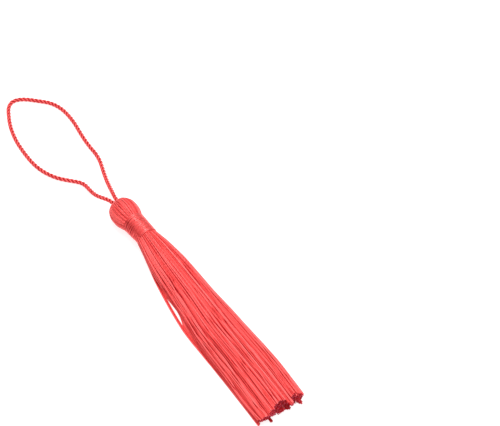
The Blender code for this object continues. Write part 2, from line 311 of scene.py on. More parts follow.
class SkirtSettings(bpy.types.PropertyGroup):
    count: IntProperty(name="Strands", description="Strands in the skirt", default=400, min=60, max=600)
    diameter: FloatProperty(name="Strand diameter", description="Thickness of one strand",
                            default=0.49 * MM, unit="LENGTH", precision=5)
    stations: IntProperty(name="Stations", description="Rings along each strand", default=54, min=12)
    wander: FloatProperty(name="Wander", description="How far a lock drifts sideways on its way to the end",
                          default=0.50 * MM, unit="LENGTH", precision=5)
    seed: IntProperty(name="Seed", description="Seed of the strands' places", default=7)


class HeadSettings(bpy.types.PropertyGroup):
    count: IntProperty(name="Strands", description="Strands side by side round the head", default=84)
    diameter: FloatProperty(name="Strand diameter", description="Thickness of one strand",
                            default=0.48 * MM, unit="LENGTH", precision=5)
    seed: IntProperty(name="Seed", description="Seed of the strands' places", default=3)


class BindingSettings(bpy.types.PropertyGroup):
    diameter: FloatProperty(name="Thread diameter", description="Thickness of the binding thread",
                            default=0.42 * MM, unit="LENGTH", precision=5)
    pitch: FloatProperty(name="Pitch", description="Distance between turns", default=0.405 * MM,
                         unit="LENGTH", precision=5)
    seed: IntProperty(name="Seed", description="Seed of the turns' unevenness", default=5)


class LoopSettings(bpy.types.PropertyGroup):
    diameter: FloatProperty(name="Cord diameter", description="Thickness of the twisted cord",
                            default=1.85 * MM, unit="LENGTH", precision=5)
    lay: FloatProperty(name="Lay", description="Length of one full turn of the plies",
                       default=5.4 * MM, unit="LENGTH", precision=5)


class ColourSettings(bpy.types.PropertyGroup):
    light: FloatVectorProperty(name="Light strand", description="The palest strands", size=3, subtype="COLOR",
                               default=linear("#FB8584"))
    middle: FloatVectorProperty(name="Strand", description="Most strands", size=3, subtype="COLOR",
                                default=linear("#F15654"))
    deep: FloatVectorProperty(name="Deep strand", description="The deepest strands", size=3, subtype="COLOR",
                              default=linear("#AE141E"))
    floor: FloatVectorProperty(name="Floor", description="The surface it lies on", size=3, subtype="COLOR",
                               default=linear("#A8A8A8"))


class StageSettings(bpy.types.PropertyGroup):
    key: FloatProperty(name="Key light", description="Power of the large light overhead", default=5.6,
                       unit="POWER")
    fill: FloatProperty(name="World light", description="Strength of the soft light from above", default=1.0)
    glow: FloatProperty(name="Surface light", description="Light that the lit white surface gives by itself",
                        default=0.78)


class TasselSettings(bpy.types.PropertyGroup):
    skirt: PointerProperty(type=SkirtSettings)
    head: PointerProperty(type=HeadSettings)
    binding: PointerProperty(type=BindingSettings)
    loop: PointerProperty(type=LoopSettings)
    colours: PointerProperty(type=ColourSettings)
    stage: PointerProperty(type=StageSettings)


def add(tree, kind, values=None, links=None, **settings):
    """Add a node with its settings, its sockets' values and the links into it."""
    node = tree.nodes.new(kind)
    for name, value in settings.items():
        setattr(node, name, value)
    for socket, value in (values or {}).items():
        node.inputs[socket].default_value = value
    for socket, source in (links or {}).items():
        tree.links.new(source, node.inputs[socket])
    return node


def new_material(name):
    material = bpy.data.materials.get(name) or bpy.data.materials.new(name)
    material.use_nodes = True
    tree = material.node_tree
    tree.nodes.clear()
    return material, tree


def thread_material(name, colours, lay, plies, roughness, lustre, gloss, relief=0.05):
    """Spun rayon silk: a tube of fine filaments with a slow twist.

    The filaments give long soft streaks along the strand, each strand has taken the dye a little differently,
    and the twist shows as a shallow spiral groove of so many plies and that lay, in millimetres. The shade
    attribute that sets each strand's tone also carries painted shade where strands are set darker. Much of
    the light is thrown back from inside the dyed filaments, so the gloss is broad and takes their colour, as
    a partly metallic finish does. Some light also passes through them; a faint red glow is painted in for it,
    so
    the creases stay red: painted light.
    """
    material, tree = new_material(name)
    uv = add(tree, "ShaderNodeUVMap", uv_map="strand")
    parts = add(tree, "ShaderNodeSeparateXYZ", links={"Vector": uv.outputs["UV"]})
    shade = add(tree, "ShaderNodeAttribute", attribute_name="shade", attribute_type="GEOMETRY")
    # v runs in millimetres along the strand, u once round it
    streak_place = add(tree, "ShaderNodeCombineXYZ")
    around = add(tree, "ShaderNodeMath", {1: STREAKS_ROUND}, {0: parts.outputs["X"]}, operation="MULTIPLY")
    along = add(tree, "ShaderNodeMath", {1: 1 / STREAK_LENGTH}, {0: parts.outputs["Y"]}, operation="MULTIPLY")
    number = add(tree, "ShaderNodeAttribute", attribute_name="number", attribute_type="GEOMETRY")
    own = add(tree, "ShaderNodeMath", {1: STRAND_SHIFT}, {0: number.outputs["Fac"]}, operation="MULTIPLY")
    for socket, source in zip("XYZ", (around, along, own)):
        tree.links.new(source.outputs[0], streak_place.inputs[socket])
    streak = add(tree, "ShaderNodeTexNoise", {"Scale": 1.0, "Detail": 2.0, "Roughness": 0.6},
                 {"Vector": streak_place.outputs[0]}, noise_dimensions="3D")
    spread = add(tree, "ShaderNodeMath", {1: STREAK_CONTRAST, 2: -STREAK_CONTRAST / 2},
                 {0: streak.outputs["Fac"]}, operation="MULTIPLY_ADD")
    tone = add(tree, "ShaderNodeMath", links={0: shade.outputs["Fac"], 1: spread.outputs[0]}, operation="ADD",
               use_clamp=True)
    ramp = add(tree, "ShaderNodeValToRGB", links={"Fac": tone.outputs[0]})
    stops = ramp.color_ramp.elements
    stops[0].position = 0.0
    stops[0].color = rgba(colours.deep)
    stops[1].position = 1.0
    stops[1].color = rgba(colours.light)
    middle = stops.new(MIDDLE_TONE)
    middle.color = rgba(colours.middle)
    turns = add(tree, "ShaderNodeMath", {1: 1.0 / lay}, {0: parts.outputs["Y"], 2: own.outputs[0]},
                operation="MULTIPLY_ADD")
    phase = add(tree, "ShaderNodeMath", {1: float(plies)}, {0: parts.outputs["X"], 2: turns.outputs[0]},
                operation="MULTIPLY_ADD")
    angle = add(tree, "ShaderNodeMath", {1: 2 * math.pi}, {0: phase.outputs[0]}, operation="MULTIPLY")
    groove = add(tree, "ShaderNodeMath", links={0: angle.outputs[0]}, operation="SINE")
    bump = add(tree, "ShaderNodeBump", {"Strength": 0.6, "Distance": relief * MM},
               {"Height": groove.outputs[0]})
    # The faint red emission is painted light: a glow in place of the light that passes through the filaments
    shader = add(tree, "ShaderNodeBsdfPrincipled",
                 {"Roughness": roughness, "Metallic": lustre, "Specular IOR Level": gloss,
                  "Sheen Weight": 0.02, "Sheen Roughness": 0.35, "Sheen Tint": rgba(linear("#FF8C84")),
                  "Emission Color": rgba(linear("#FF3838")), "Emission Strength": 0.06},
                 {"Base Color": ramp.outputs["Color"], "Normal": bump.outputs["Normal"]})
    add(tree, "ShaderNodeOutputMaterial", links={"Surface": shader.outputs[0]})
    return material


def cut_material():
    """Cut ends of rayon strands: matt and a little cooler, as light goes in between the filaments."""
    material, tree = new_material("cut rayon filaments")
    place = add(tree, "ShaderNodeTexCoord")
    noise = add(tree, "ShaderNodeTexNoise", {"Scale": 1 / (0.15 * MM), "Detail": 2.0},
                {"Vector": place.outputs["Object"]})
    # The ends' tone follows each strand's shade, so the ends of strands that lie under others get painted
    # shade
    shade = add(tree, "ShaderNodeAttribute", attribute_name="shade", attribute_type="GEOMETRY")
    tone = add(tree, "ShaderNodeMath", {1: 0.5}, {0: noise.outputs["Fac"], 2: shade.outputs["Fac"]},
               operation="MULTIPLY_ADD")
    ramp = add(tree, "ShaderNodeValToRGB", links={"Fac": tone.outputs[0]})
    ramp.color_ramp.elements[0].color = rgba(linear("#BA3852"))
    ramp.color_ramp.elements[1].color = rgba(linear("#FA727C"))
    shader = add(tree, "ShaderNodeBsdfPrincipled",
                 {"Roughness": 0.85, "IOR": 1.47, "Specular IOR Level": 0.1},
                 {"Base Color": ramp.outputs["Color"]})
    add(tree, "ShaderNodeOutputMaterial", links={"Surface": shader.outputs[0]})
    return material


def core_material(colours):
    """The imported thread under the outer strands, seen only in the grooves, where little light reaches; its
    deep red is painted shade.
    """
    material, tree = new_material("packed rayon thread in painted shade")
    place = add(tree, "ShaderNodeTexCoord")
    noise = add(tree, "ShaderNodeTexNoise", {"Scale": 1 / (0.8 * MM), "Detail": 3.0},
                {"Vector": place.outputs["Object"]})
    ramp = add(tree, "ShaderNodeValToRGB", links={"Fac": noise.outputs["Fac"]})
    ramp.color_ramp.elements[0].color = rgba(linear("#A81E28"))
    ramp.color_ramp.elements[1].color = rgba(colours.deep)
    shader = add(tree, "ShaderNodeBsdfPrincipled", {"Roughness": 0.6, "IOR": 1.47},
                 {"Base Color": ramp.outputs["Color"]})
    add(tree, "ShaderNodeOutputMaterial", links={"Surface": shader.outputs[0]})
    return material


def floor_material(colours, glow):
    """Opal acrylic of a light table: matt, evenly lit from inside, with a very faint mottle."""
    material, tree = new_material("opal acrylic light table")
    place = add(tree, "ShaderNodeTexCoord")
    noise = add(tree, "ShaderNodeTexNoise", {"Scale": 1 / (60 * MM), "Detail": 2.0},
                {"Vector": place.outputs["Object"]})
    ramp = add(tree, "ShaderNodeValToRGB", links={"Fac": noise.outputs["Fac"]})
    ramp.color_ramp.elements[0].color = rgba([0.985 * value for value in colours.floor])
    ramp.color_ramp.elements[1].color = rgba(colours.floor)
    shader = add(tree, "ShaderNodeBsdfPrincipled",
                 {"Roughness": 0.8, "Specular IOR Level": 0.2, "Emission Color": (1.0, 1.0, 1.0, 1.0),
                  "Emission Strength": glow},
                 {"Base Color": ramp.outputs["Color"]})
    add(tree, "ShaderNodeOutputMaterial", links={"Surface": shader.outputs[0]})
    return material


def unit(vectors):
    return vectors / np.linalg.norm(vectors, axis=-1, keepdims=True)


def carried_frames(paths):
    """Directions along each path, and two across it that don't spin as they go along."""
    along = unit(np.gradient(paths, axis=1))
    upright = np.abs(along[:, :1, 2:]) > 0.9
    across = np.where(upright, (1.0, 0.0, 0.0), (0.0, 0.0, 1.0))[:, 0]
    normal = np.empty_like(along)
    for station in range(paths.shape[1]):
        ahead = along[:, station]
        across = unit(across - ahead * np.sum(across * ahead, axis=-1, keepdims=True))
        normal[:, station] = across
    return along, normal, np.cross(along, normal)


def strands(name, paths, radii, sides, shades, material, cut=None):
    """One piece of many strands: a tube with closed ends along each path, in millimetres.

    Its "strand" UVs run once round a strand and in millimetres along it. Its "shade" is one number a strand,
    or one a station. cut is the material of the ends, where they show.
    """
    count, stations = paths.shape[:2]
    _, normal, side = carried_frames(paths)
    turn = 2 * math.pi * np.arange(sides) / sides
    spoke = (normal[:, :, None] * np.cos(turn)[:, None] + side[:, :, None] * np.sin(turn)[:, None])
    points = paths[:, :, None] + spoke * radii[:, :, None, None]
    index = np.arange(count * stations * sides).reshape(count, stations, sides)
    after = np.roll(index, -1, axis=2)
    walls = np.stack([index[:, :-1], after[:, :-1], after[:, 1:], index[:, 1:]], axis=-1).reshape(-1, 4)
    ends = np.concatenate([index[:, 0, ::-1], index[:, -1]])

    gone = np.cumsum(np.linalg.norm(np.diff(paths, axis=1), axis=-1), axis=1)
    gone = np.concatenate([np.zeros((count, 1)), gone], axis=1)
    wall_uv = np.empty((count, stations - 1, sides, 4, 2))
    wall_uv[..., 0, 0] = wall_uv[..., 3, 0] = np.arange(sides) / sides
    wall_uv[..., 1, 0] = wall_uv[..., 2, 0] = (np.arange(sides) + 1) / sides
    wall_uv[..., 0, 1] = wall_uv[..., 1, 1] = gone[:, :-1, None]
    wall_uv[..., 2, 1] = wall_uv[..., 3, 1] = gone[:, 1:, None]
    end_uv = np.empty((2, count, sides, 2))
    end_uv[..., 0] = 0.5 + 0.5 * np.cos(turn)
    end_uv[0, ..., 1] = 0.0
    end_uv[1, ..., 1] = gone[:, -1:]

    mesh = bpy.data.meshes.new(name)
    mesh.vertices.add(points.size // 3)
    mesh.vertices.foreach_set("co", (points * MM).ravel())
    mesh.loops.add(walls.size + ends.size)
    mesh.loops.foreach_set("vertex_index", np.concatenate([walls.ravel(), ends.ravel()]))
    mesh.polygons.add(len(walls) + len(ends))
    starts = np.concatenate([4 * np.arange(len(walls)), walls.size + sides * np.arange(len(ends))])
    mesh.polygons.foreach_set("loop_start", starts)
    end_slot = 0 if cut is None else 1
    mesh.polygons.foreach_set("material_index", [0] * len(walls) + [end_slot] * len(ends))
    layer = mesh.uv_layers.new(name="strand")
    layer.uv.foreach_set("vector", np.concatenate([wall_uv.ravel(), end_uv.ravel()]))
    shade = mesh.attributes.new("shade", "FLOAT", "POINT")
    shades = np.broadcast_to(shades.reshape(count, -1), (count, stations))
    shade.data.foreach_set("value", np.repeat(shades, sides).astype(np.float32))
    number = mesh.attributes.new("number", "FLOAT", "POINT")
    number.data.foreach_set("value", np.repeat(np.arange(count), stations * sides).astype(np.float32))
    mesh.update(calc_edges=True)
    mesh.validate()
    mesh.shade_smooth()
    mesh.set_sharp_from_angle(angle=SHARP_EDGE)
    piece = place_piece(name, mesh, material)
    if cut:
        mesh.materials.append(cut)
    return piece


def place_piece(name, mesh, material):
    mesh.materials.append(material)
    piece = bpy.data.objects.new(name, mesh)
    bpy.context.scene.collection.objects.link(piece)
    return piece


def stands_for(piece, node):
    """The piece rides on the one body and takes the node's place, whose part is hidden."""
    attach(piece, "root")
    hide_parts(node)
    return piece


def smooth_curve(points, places):
    """Points on a natural cubic spline through the given ones, at shares (0 to 1) of its length."""
    route = np.array(points, dtype=float)
    knots = np.concatenate([[0.0], np.cumsum(np.linalg.norm(np.diff(route, axis=0), axis=1))])
    steps = np.diff(knots)
    count = len(route)
    matrix = np.eye(count)
    right = np.zeros_like(route)
    for i in range(1, count - 1):
        matrix[i, i - 1:i + 2] = steps[i - 1], 2 * (steps[i - 1] + steps[i]), steps[i]
        right[i] = 6 * ((route[i + 1] - route[i]) / steps[i] - (route[i] - route[i - 1]) / steps[i - 1])
    bend = np.linalg.solve(matrix, right)
    where = np.asarray(places) * knots[-1]
    span = np.clip(np.searchsorted(knots, where, side="right") - 1, 0, count - 2)
    before = ((knots[span + 1] - where) / steps[span])[:, None]
    after = 1.0 - before
    width = steps[span][:, None]
    return (before * route[span] + after * route[span + 1]
            + ((before ** 3 - before) * bend[span] + (after ** 3 - after) * bend[span + 1]) * width ** 2 / 6)


def route_length(points):
    return float(np.linalg.norm(np.diff(points, axis=0), axis=1).sum())


def slow_noise(rng, count, share, waves):
    """Smooth random curves along the strands, each from about -1 to 1, of about so many waves."""
    total = np.zeros((count, len(share)))
    for wave in waves:
        phase = rng.uniform(0, 2 * math.pi, (count, 1))
        speed = wave * rng.uniform(0.75, 1.25, (count, 1))
        total += rng.uniform(0.4, 1.0, (count, 1)) * np.sin(2 * math.pi * speed * share + phase)
    return total / math.sqrt(len(waves))


def read_table(table, place):
    """The table's second column at a place in its first."""
    return np.interp(place, table[:, 0], table[:, 1])


def disc_places(rng, count, fill=0.985, shake=0.28):
    """Evenly packed places that fill the unit disc, each shaken by a share of their pitch."""
    pitch = math.sqrt(2 * math.pi / (math.sqrt(3) * count))
    reach = math.ceil(2 / pitch)
    rows = []
    for row in range(-reach, reach + 1):
        shift = 0.5 * pitch * (row % 2)
        rows += [(column * pitch + shift, row * pitch * math.sqrt(3) / 2)
                 for column in range(-reach, reach + 1)]
    places = np.array(rows)
    order = np.argsort(np.hypot(places[:, 0], places[:, 1]), kind="stable")
    places = places[order[:count]]
    return fill * places + rng.uniform(-shake, shake, places.shape) * pitch


def gather_locks(rng, places, count, rounds=4):
    """Which lock each strand belongs to, and the middle of each lock."""
    centres = places[rng.choice(len(places), count, replace=False)]
    for _ in range(rounds):
        owner = np.argmin(np.linalg.norm(places[:, None] - centres[None], axis=2), axis=1)
        centres = np.array([places[owner == i].mean(axis=0) if np.any(owner == i) else centres[i]
                            for i in range(count)])
    return owner, centres


def section_rows(x):
    """Left, right, bottom, top and settled at each place along X, eased between the table's rows."""
    rows = np.array([np.interp(x, SKIRT_SECTIONS[:, 0], SKIRT_SECTIONS[:, column]) for column in range(1, 6)])
    for _ in range(2):
        rows[:, 1:-1] = 0.25 * rows[:, :-2] + 0.5 * rows[:, 1:-1] + 0.25 * rows[:, 2:]
    return rows


def section_limits(y, rows):
    """The lowest and highest z of the skirt's outline at y."""
    left, right, bottom, top, settled = rows
    across = np.clip((y - (left + right) / 2) / ((right - left) / 2), -1.0, 1.0)
    rise = np.sqrt(1.0 - across ** 2) * (top - bottom) / 2
    pile = top * (1.0 - np.abs(across) ** EDGE_POWER) ** EDGE_FALL
    low = (1 - settled) * ((top + bottom) / 2 - rise)
    high = (1 - settled) * ((top + bottom) / 2 + rise) + settled * pile
    return low, high


def nearest_strands(y, z, near):
    """The nearest strands of each strand at each station: station, strand, neighbour."""
    found = []
    for station in range(y.shape[1]):
        gap_y = y[:, station, None] - y[None, :, station]
        gap_z = z[:, station, None] - z[None, :, station]
        found.append(np.argpartition(gap_y ** 2 + gap_z ** 2, near + 1, axis=1)[:, :near + 1])
    return np.array(found)


def settle(y, z, gap, rows, sunk, held, rounds):
    """Part strands that lie in each other, keep each smooth along its length and the pile in its outline.

    sunk is how far each strand stays below the outline, which gives the pile its relief.
    """
    home_y, home_z = y.copy(), z.copy()
    stations = np.arange(y.shape[1])[:, None, None]
    left, right = rows[0], rows[1]
    radius = gap / 2
    for step in range(rounds):
        if step % NEIGHBOURS_KEPT == 0:
            near = nearest_strands(y, z, NEIGHBOURS)
        away_y = y.T[:, :, None] - y.T[stations, near]
        away_z = z.T[:, :, None] - z.T[stations, near]
        distance = np.sqrt(away_y ** 2 + away_z ** 2)
        push = np.where(distance > 1e-6, np.maximum(gap.T[:, :, None] - distance, 0.0), 0.0)
        push *= PUSH / np.maximum(distance, 1e-6)
        move_y = (away_y * push).sum(axis=2).T
        move_z = (away_z * push).sum(axis=2).T
        move_y += HOMING * (home_y - y)
        move_z += HOMING * (home_z - z)
        y = y + np.where(held, 0.0, move_y)
        z = z + np.where(held, 0.0, move_z)
        for line in (y, z):
            bend = 0.5 * (line[:, :-2] + line[:, 2:]) - line[:, 1:-1]
            line[:, 1:-1] += 0.5 * np.where(held[:, 1:-1], 0.0, bend)
        inside = np.clip(y, left + radius + SIDE_SINK * sunk, right - radius - SIDE_SINK * sunk)
        y = np.where(held, y, inside)
        low, high = section_limits(y, rows)
        z = np.where(held, z, np.clip(z, low + radius, np.maximum(high - radius - sunk, low + radius)))
        z = np.maximum(z, radius)
    return y, z


def cut_reach(rng, y, z, owner):
    """How far along X each strand was cut, from where its end lies."""
    reach = MEAN_REACH + rng.uniform(-LOCK_CUT, LOCK_CUT, LOCKS)[owner]
    reach += rng.uniform(-STRAND_CUT, STRAND_CUT, len(y))
    for middle_y, middle_z, half_y, half_z, added in END_PATCHES:
        reach += added * np.exp(-((y - middle_y) / half_y) ** 4 - ((z - middle_z) / half_z) ** 4)
    lone_y, lone_z, longest = LONE_STRANDS
    lone = np.argsort(np.hypot(y - lone_y, z - lone_z), kind="stable")[:len(LONE_SHORTER)]
    reach = np.minimum(reach, longest)
    reach[lone] = longest - np.array(LONE_SHORTER)
    return reach


def buried_depth(y, z, radius, reach):
    """How far each strand lies under its neighbours at each station, seen from where it shows best."""
    depth = np.full(y.shape, np.inf)
    for angle in SHOWN_FROM:
        outward = y * math.sin(angle) + z * math.cos(angle) + radius
        across = y * math.cos(angle) - z * math.sin(angle)
        for station in range(y.shape[1]):
            beside = np.abs(across[:, station, None] - across[None, :, station]) < reach
            highest = np.where(beside, outward[None, :, station], -np.inf).max(axis=1)
            depth[:, station] = np.minimum(depth[:, station], highest - outward[:, station])
    return depth


def drift(rng, owner, share, table):
    """How far each strand has drifted at each station, with its lock and by itself."""
    (lock_size, lock_waves), (own_size, own_waves) = table
    return (lock_size * slow_noise(rng, LOCKS, share, lock_waves)[owner]
            + own_size * slow_noise(rng, len(owner), share, own_waves))


def loose_strands(rng, places, owner, centres, wander, share, grow, rows):
    """Where the strands lie before they settle: p, share of their height, y and z at each station."""
    count = len(places)
    gathered = slow_noise(rng, LOCKS, share, (1.2, 2.6)) + LOCK_GATHERED
    squeeze = LOCK_SQUEEZE * np.clip(gathered, 0.0, 1.0)[owner] * grow
    p = places[:, :1] + squeeze * (centres[owner, :1] - places[:, :1])
    q = places[:, 1:] + squeeze * (centres[owner, 1:] - places[:, 1:])
    drift_y = wander * grow * drift(rng, owner, share, SIDE_DRIFT)
    drift_z = DRIFT_UP * wander * grow * drift(rng, owner, share, RISE_DRIFT)
    crossing = rng.random(count) < CROSSING_SHARE
    stray = CROSSING_DRIFT * grow * slow_noise(rng, count, share, (0.6,))
    drift_y += np.where(crossing[:, None], stray, 0.0)

    left, right = rows[:2]
    rim = np.sqrt(np.clip(1.0 - p ** 2, 1e-4, 1.0))
    level = np.clip(0.5 + 0.5 * q / rim, 0.02, 0.98)
    y = (left + right) / 2 + (right - left) / 2 * p + drift_y
    low, high = section_limits(y, rows)
    return p, level, y, low + (high - low) * level + drift_z


def hold_edges(x, y, z, held, order, diameter):
    """Lay the lock that strays to the left and the strands on the other side of its gap in their places."""
    strays = len(STRAY_STRANDS)
    for strand, (beside, above) in zip(order, STRAY_STRANDS):
        y[strand] = read_table(STRAY_LOCK, x) + diameter / 2 + beside
        z[strand] = read_table(STRAY_HEIGHT, x) + above
        held[strand] = x < STRAY_HELD
    for place, strand in enumerate(order[strays:strays + EDGE_STRANDS]):
        pair, upper = divmod(place, 2)
        edge = read_table(BODY_EDGE, x) + diameter * (0.5 + EDGE_STEP * pair)
        height = EDGE_HEIGHT + EDGE_OVER * upper + EDGE_RISE * pair
        y[strand] = np.where(x > EDGE_FROM, edge, y[strand])
        z[strand] = np.where(x > EDGE_FROM, height, z[strand])
        held[strand] = (x < HELD_ROOT) | ((x > EDGE_HELD[0]) & (x < EDGE_HELD[1]))


def skirt_shades(rng, x, y, z, radius, diameter):
    """The tone of each strand at each station, with painted shade and painted light."""
    count, stations = y.shape
    # Strands that lie under the others are set darker, less so near the binding and on the left flank:
    # painted shade
    depth = buried_depth(y, z, radius, BURIED_REACH * diameter)
    buried = np.clip((depth - BURIED_FROM) / BURIED_OVER, 0.0, 1.0)
    # Of the strands that show at the outside, from left to right, every third is set lighter and the next one
    # deeper
    tone = TONE_SPREAD * rng.standard_normal(count)
    middle = 2 * stations // 3
    by_side = np.argsort(y[:, middle], kind="stable")
    outside = by_side[depth[by_side, middle] < OUTSIDE_DEPTH]
    tone[outside[::3]] += OUTSIDE_ALTERNATE_TONE
    tone[outside[1::3]] -= OUTSIDE_ALTERNATE_TONE
    # Painted shade in the crease where the skirt comes out of the binding, and painted light just past it
    lit = SKIRT_TONE + read_table(ROOT_PAINTED_SHADE_AND_LIGHT, x)
    across = read_table(BURIED_ACROSS, y)
    shades = tone[:, None] + lit - BURIED_PAINTED_SHADE * buried * across * read_table(BURIED_ALONG, x)
    return np.clip(shades, 0, 1)


def skirt_paths(settings):
    """Centre lines, radii and shades of the skirt's strands, from inside the binding to the cut ends."""
    rng = np.random.default_rng(settings.seed)
    count = settings.count
    diameter = settings.diameter / MM
    root = SKIRT_SECTIONS[0, 0]
    share = np.linspace(0.0, 1.0, settings.stations) ** STATION_BIAS
    x = root + (SKIRT_END - root) * share
    rows = section_rows(x)
    places = disc_places(rng, count)
    owner, centres = gather_locks(rng, places, LOCKS)
    grow = np.clip((x - LOOSE_FROM) / LOOSE_OVER, 0.0, 1.0)
    p, level, y, z = loose_strands(rng, places, owner, centres, settings.wander / MM, share, grow, rows)
    size = rng.uniform(*SIZE_RANGE, (count, 1))
    gap = diameter * read_table(STRAND_THINNING, x) * size

    held = np.zeros(y.shape, dtype=bool)
    held[:, x < HELD_ROOT] = True
    from_left = np.argsort(p[:, 0] + LOW_FIRST * level[:, 0])
    hold_edges(x, y, z, held, from_left, diameter)
    sunk = LOCK_SINK * grow * np.clip(slow_noise(rng, LOCKS, share, (1.0, 2.3))[owner], 0.0, 1.0)
    sunk += STRAND_SINK * np.clip(slow_noise(rng, count, share, (1.8, 3.8)), 0.0, 1.0)
    rounds = SETTLE_ROUNDS
    y, z = settle(y, z, gap, rows, sunk, held, rounds)

    reach = cut_reach(rng, y[:, -1], z[:, -1], owner)
    paths = np.empty((count, len(x), 3))
    paths[..., 0] = root + (reach - root)[:, None] * share
    for strand in range(count):
        paths[strand, :, 1] = np.interp(paths[strand, :, 0], x, y[strand])
        paths[strand, :, 2] = np.interp(paths[strand, :, 0], x, z[strand])
    return paths, gap / 2, skirt_shades(rng, x, y, z, gap / 2, diameter)


class TASSEL_OT_skirt(bpy.types.Operator):
    """Lay out the strands of the skirt, settled on the surface and cut unevenly"""
    bl_idname = "tassel.skirt"
    bl_label = "Skirt strands"

    def execute(self, context):
        settings = context.scene.tassel
        material = thread_material("spun rayon silk strand", settings.colours, lay=1.6, plies=2,
                                   roughness=0.38, lustre=0.26, gloss=0.12)
        paths, radii, shades = skirt_paths(settings.skirt)
        # Three pieces of like size, from the bottom of the pile to its top
        order = np.argsort(paths[:, -1, 2] - SIDES_LOWER * np.abs(paths[:, -1, 1]), kind="stable")
        for part, chosen in zip(("lower", "middle", "upper"), np.array_split(order, 3)):
            piece = strands(f"skirt_strands_{part}", paths[chosen], radii[chosen], STRAND_SIDES,
                            shades[chosen], material, cut_material())
            stands_for(piece, "head_and_skirt")
        return {"FINISHED"}


def neck_axes():
    """Directions along the head's axis, to its side and up from it."""
    level = math.cos(DROOP)
    along = np.array([math.cos(HEADING) * level, math.sin(HEADING) * level, -math.sin(DROOP)])
    side = np.array([-math.sin(HEADING), math.cos(HEADING), 0.0])
    return along, side, np.cross(along, side)


def on_axis(distance, radius, angle, lowest):
    """Points round the head's axis, no lower than they can lie."""
    along, side, up = neck_axes()
    distance, radius, angle = (np.asarray(value)[..., None] for value in (distance, radius, angle))
    points = HEAD_TOP + along * distance + (side * np.cos(angle) + up * np.sin(angle)) * radius
    points[..., 2] = np.maximum(points[..., 2], lowest)
    return points


def head_strands(settings, rng, inset, groove, stations):
    """Strands that come up out of the pit, fold over the head and run down under the binding."""
    count = settings.count
    diameter = settings.diameter / MM
    share = np.linspace(0.0, 1.0, stations)
    distance, radius = smooth_curve(HEAD_PROFILE, share).T
    angle = 2 * math.pi * (np.arange(count) + rng.uniform(-HEAD_SHAKE, HEAD_SHAKE, count)) / count
    # Locks of two to four strands draw together and leave a groove beside them
    lock_ends = np.cumsum(rng.integers(2, 5, count))
    lock = np.searchsorted(lock_ends, np.arange(count), side="right")
    locks = lock.max() + 1
    middle = np.array([angle[lock == i].mean() if np.any(lock == i) else 0.0 for i in range(locks)])[lock]
    from_side = np.angle(np.exp(1j * (angle - GROOVE_SIDE)))
    shown = np.exp(-(from_side / GROOVE_WIDTH) ** 4)
    strength = groove * (GROOVE_LEAST + (1 - GROOVE_LEAST) * shown) * rng.uniform(*GROOVE_SIZES, locks)[lock]
    rise = np.clip((share - GROOVE_FROM) / GROOVE_OVER, 0.0, 1.0)
    bell = rise * rise * (3 - 2 * rise)
    angles = angle[:, None] + (strength * (middle - angle))[:, None] * bell
    outer = np.abs(angle - middle) / (1.25 * 2 * math.pi / count)
    angles += HEAD_SWAY * slow_noise(rng, count, share, (0.8, 1.7))
    # Towards the pit there is less room, so some strands dive under their neighbours
    depth = rng.choice(PIT_DEPTHS, count, p=PIT_SHARES)[:, None]
    dive = depth * np.clip(1.0 - share / PIT_OVER, 0.0, 1.0)
    dive = dive + (strength * (GROOVE_DEPTH * outer - GROOVE_CREST))[:, None] * bell
    uneven = HEAD_UNEVEN * slow_noise(rng, count, share, (1.0, 2.0))
    radii = np.repeat((0.5 * diameter * read_table(HEAD_THINNING, share))[None], count, axis=0)
    radii *= rng.uniform(*HEAD_SIZES, (count, 1))
    paths = on_axis(distance + np.zeros_like(angles), radius - inset - radii - dive + uneven, angles, radii)
    shades = HEAD_TONE + HEAD_TONE_SPREAD * rng.standard_normal(count)
    # Painted shade: strands that lie lower, by their dive and by the layer's depth under the outside, are set
    # darker
    shades = shades[:, None] - GROOVE_PAINTED_SHADE * np.clip(dive / GROOVE_FULL, 0.0, 1.0) - inset
    return paths, radii, np.clip(shades, 0, 1)


def turned_body(name, profile, steps, material):
    """A closed body turned round the head's axis from rows of distance and radius."""
    bm = bmesh.new()
    along, _, up = neck_axes()
    corners = [bm.verts.new(Vector(HEAD_TOP + along * distance + up * radius) * MM)
               for distance, radius in profile]
    edges = [bm.edges.new(pair) for pair in zip(corners, corners[1:])]
    bmesh.ops.spin(bm, geom=corners + edges, cent=Vector(HEAD_TOP) * MM, axis=Vector(along), steps=steps,
                   angle=2 * math.pi, use_merge=True)
    bmesh.ops.remove_doubles(bm, verts=bm.verts[:], dist=0.001 * MM)
    bmesh.ops.recalc_face_normals(bm, faces=bm.faces[:])
    for vert in bm.verts:
        vert.co.z = max(vert.co.z, CORE_LOWEST * MM)
    mesh = bpy.data.meshes.new(name)
    bm.to_mesh(mesh)
    bm.free()
    mesh.shade_smooth()
    return place_piece(name, mesh, material)


class TASSEL_OT_head(bpy.types.Operator):
    """Fold the strands of the mop head over its packed core"""
    bl_idname = "tassel.head"
    bl_label = "Mop head"

    def execute(self, context):
        settings = context.scene.tassel
        rng = np.random.default_rng(settings.head.seed)
        material = thread_material("spun rayon silk strand, folded", settings.colours, lay=1.6, plies=2,
                                   roughness=0.36, lustre=0.28, gloss=0.16)
        # Each layer's distance under the outside of the head, how deep its grooves are, and its rings
        layers = (
            ("head_strands_under", 0.55, 0.10, 26),
            ("head_strands", 0.03, 0.26, 38),
        )
        for name, inset, groove, stations in layers:
            paths, radii, shades = head_strands(settings.head, rng, inset, groove, stations)
            piece = strands(name, paths, radii, STRAND_SIDES, shades, material)
            stands_for(piece, "head_and_skirt")
        outside = smooth_curve(HEAD_PROFILE, np.linspace(CORE_FROM, 1, 20))
        core = [(distance, max(radius - CORE_UNDER, 0.0)) for distance, radius in outside]
        neck = (WRAP_END + CORE_NECK[0], CORE_NECK[1])
        profile = [(CORE_TOP, 0.0), *core, neck, (WRAP_END + CORE_END, 0.0)]
        body = turned_body("head_core", profile, 48, core_material(settings.colours))
        stands_for(body, "head_and_skirt")
        return {"FINISHED"}


def binding_radius(distance):
    return np.interp(distance, (WRAP_START, WRAP_END), WRAP_RADIUS)


